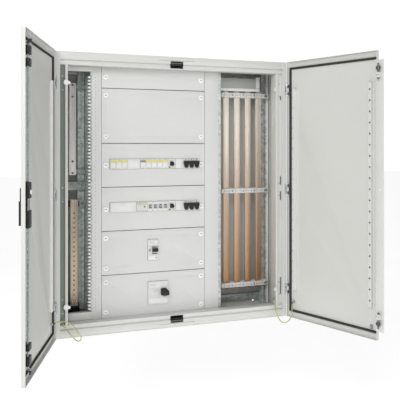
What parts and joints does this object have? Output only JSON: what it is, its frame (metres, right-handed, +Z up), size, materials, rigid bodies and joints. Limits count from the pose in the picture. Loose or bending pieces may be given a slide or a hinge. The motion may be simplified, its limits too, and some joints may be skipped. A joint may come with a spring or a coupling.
{
  "type": "double-door switchboard cabinet",
  "caption": "Wall-mounted double-door switchboard cabinet with cover plates, modular devices, busbars, rod lock and earth leads.",
  "frame": {"origin": "centre of the four wall-fixing holes on the outside of the back panel", "axes": "+Z up, +Y into the wall, so the front faces -Y, +X to the right seen from the front"},
  "size_m": [1.506, 0.8045, 1.2741],
  "materials": {
    "body_paint": "fine textured light grey powder coat",
    "galvanised": "zinc coated sheet with a mottled grain",
    "steel": "plated steel",
    "copper": "bare copper, slightly dulled",
    "white_profile": "smooth white paint",
    "cover_plastic": "light grey plastic",
    "device_plastic": "light grey moulded plastic",
    "breaker_case": "grey moulded plastic",
    "black_plastic": "black moulded plastic",
    "gasket_foam": "foamed sealing cord",
    "lead_sheath": "green and yellow insulation"
  },
  "bodies": {
    "cabinet": {"back_panel": "body_paint", "bar_insulators": "black_plastic", "blanking_strips": "cover_plastic", "busbar_supports": "device_plastic", "busbars": "copper", "circuit_breakers": "device_plastic", "cover_fasteners": "cover_plastic", "cover_frame_profiles": "white_profile", "cover_lower_row": "cover_plastic", "cover_rotary_breaker": "cover_plastic", "cover_toggle_breaker": "cover_plastic", "cover_top_blank": "cover_plastic", "cover_upper_blank": "cover_plastic", "cover_upper_row": "cover_plastic", "device_mounting_rails": "galvanised", "earth_bar": "copper", "fixed_hinge_leaves": "steel", "floor_panel": "body_paint", "fuse_pole_modules": "device_plastic", "fuse_switch_bodies": "device_plastic", "gland_plate": "galvanised", "left_earth_lead": "lead_sheath", "left_side_panel": "body_paint", "neutral_bar": "copper", "perforated_uprights": "galvanised", "rear_cross_rails": "galvanised", "residual_current_devices": "device_plastic", "right_earth_lead": "lead_sheath", "right_side_panel": "body_paint", "rod_catches": "black_plastic", "roof_panel": "body_paint", "rotary_breaker_body": "breaker_case", "toggle_breaker_body": "breaker_case"},
    "left_door": {"left_door_panel": "body_paint", "left_door_gasket": "gasket_foam", "left_door_rail": "white_profile", "lock_case": "black_plastic", "handle_escutcheon": "black_plastic", "rod_guides": "black_plastic", "left_door_hinge_leaves": "steel"},
    "right_door": {"right_door_panel": "body_paint", "right_door_gasket": "gasket_foam", "right_door_rails": "white_profile", "right_door_hinge_leaves": "steel", "bolt_guides": "white_profile"},
    "door_handle": {"door_handle": "black_plastic"},
    "upper_rod": {"upper_rod": "galvanised"},
    "lower_rod": {"lower_rod": "galvanised"},
    "upper_bolt": {"upper_bolt": "steel"},
    "lower_bolt": {"lower_bolt": "steel"},
    "rotary_handle": {"rotary_handle": "black_plastic"},
    "toggle_breaker_toggle": {"toggle_breaker_toggle": "black_plastic"},
    "rcd_toggle_upper": {"rcd_toggle_upper": "black_plastic"},
    "rcd_toggle_lower": {"rcd_toggle_lower": "black_plastic"},
    "fuse_handle_upper": {"fuse_handle_upper": "black_plastic"},
    "fuse_handle_lower": {"fuse_handle_lower": "black_plastic"},
    "breaker_toggle_1": {"breaker_toggle_1": "black_plastic"},
    "breaker_toggle_2": {"breaker_toggle_2": "black_plastic"},
    "breaker_toggle_3": {"breaker_toggle_3": "black_plastic"},
    "breaker_toggle_4": {"breaker_toggle_4": "black_plastic"}
  },
  "joints": [
    {"name": "left_door_hinge", "type": "hinge", "parent": "cabinet", "child": "left_door", "pos_m": [-0.5625, -0.255, 0], "axis": [0, 0, 1], "range_deg": [-8, 109.2], "deforming": ["left_earth_lead"]},
    {"name": "right_door_hinge", "type": "hinge", "parent": "cabinet", "child": "right_door", "pos_m": [0.5625, -0.255, 0], "axis": [0, 0, 1], "range_deg": [-107.6, 8], "deforming": ["right_earth_lead"]},
    {"name": "handle_turn", "type": "hinge", "parent": "left_door", "child": "door_handle", "pos_m": [-0.75195, -0.75342, 0.05], "axis": [0.9444, -0.3289, 0], "range_deg": [0, 90]},
    {"name": "upper_rod_slide", "type": "slide", "parent": "left_door", "child": "upper_rod", "axis": [0, 0, 1], "range_m": [0, 0.009]},
    {"name": "lower_rod_slide", "type": "slide", "parent": "left_door", "child": "lower_rod", "axis": [0, 0, -1], "range_m": [0, 0.009]},
    {"name": "upper_bolt_slide", "type": "slide", "parent": "right_door", "child": "upper_bolt", "axis": [0, 0, 1], "range_m": [0, 0.008]},
    {"name": "lower_bolt_slide", "type": "slide", "parent": "right_door", "child": "lower_bolt", "axis": [0, 0, -1], "range_m": [0, 0.008]},
    {"name": "toggle_breaker_rock", "type": "hinge", "parent": "cabinet", "child": "toggle_breaker_toggle", "pos_m": [-0.097, -0.184, -0.272], "axis": [1, 0, 0], "range_deg": [-15, 15]},
    {"name": "rotary_handle_turn", "type": "hinge", "parent": "cabinet", "child": "rotary_handle", "pos_m": [-0.05, -0.2, -0.469], "axis": [0, 1, 0], "range_deg": [0, 90]},
    {"name": "rcd_upper_rock", "type": "hinge", "parent": "cabinet", "child": "rcd_toggle_upper", "pos_m": [-0.0135, -0.1885, 0.13], "axis": [1, 0, 0], "range_deg": [-18, 18]},
    {"name": "rcd_lower_rock", "type": "hinge", "parent": "cabinet", "child": "rcd_toggle_lower", "pos_m": [-0.0135, -0.1885, -0.068], "axis": [1, 0, 0], "range_deg": [-18, 18]},
    {"name": "fuse_upper_lift", "type": "hinge", "parent": "cabinet", "child": "fuse_handle_upper", "pos_m": [0.0825, -0.197, 0.143], "axis": [-1, 0, 0], "range_deg": [0, 80]},
    {"name": "fuse_lower_lift", "type": "hinge", "parent": "cabinet", "child": "fuse_handle_lower", "pos_m": [0.0825, -0.197, -0.055], "axis": [-1, 0, 0], "range_deg": [0, 80]},
    {"name": "breaker_1_rock", "type": "hinge", "parent": "cabinet", "child": "breaker_toggle_1", "pos_m": [-0.1195, -0.1895, -0.068], "axis": [1, 0, 0], "range_deg": [-18, 18]},
    {"name": "breaker_2_rock", "type": "hinge", "parent": "cabinet", "child": "breaker_toggle_2", "pos_m": [-0.0945, -0.1895, -0.068], "axis": [1, 0, 0], "range_deg": [-18, 18]},
    {"name": "breaker_3_rock", "type": "hinge", "parent": "cabinet", "child": "breaker_toggle_3", "pos_m": [-0.0695, -0.1895, -0.068], "axis": [1, 0, 0], "range_deg": [-18, 18]},
    {"name": "breaker_4_rock", "type": "hinge", "parent": "cabinet", "child": "breaker_toggle_4", "pos_m": [-0.0445, -0.1895, -0.068], "axis": [1, 0, 0], "range_deg": [-18, 18]}
  ],
  "couplings": [
    {"joint": "upper_rod_slide", "follows": "handle_turn", "m_per_rad": 0.0057296},
    {"joint": "lower_rod_slide", "follows": "handle_turn", "m_per_rad": 0.0057296}
  ]
}
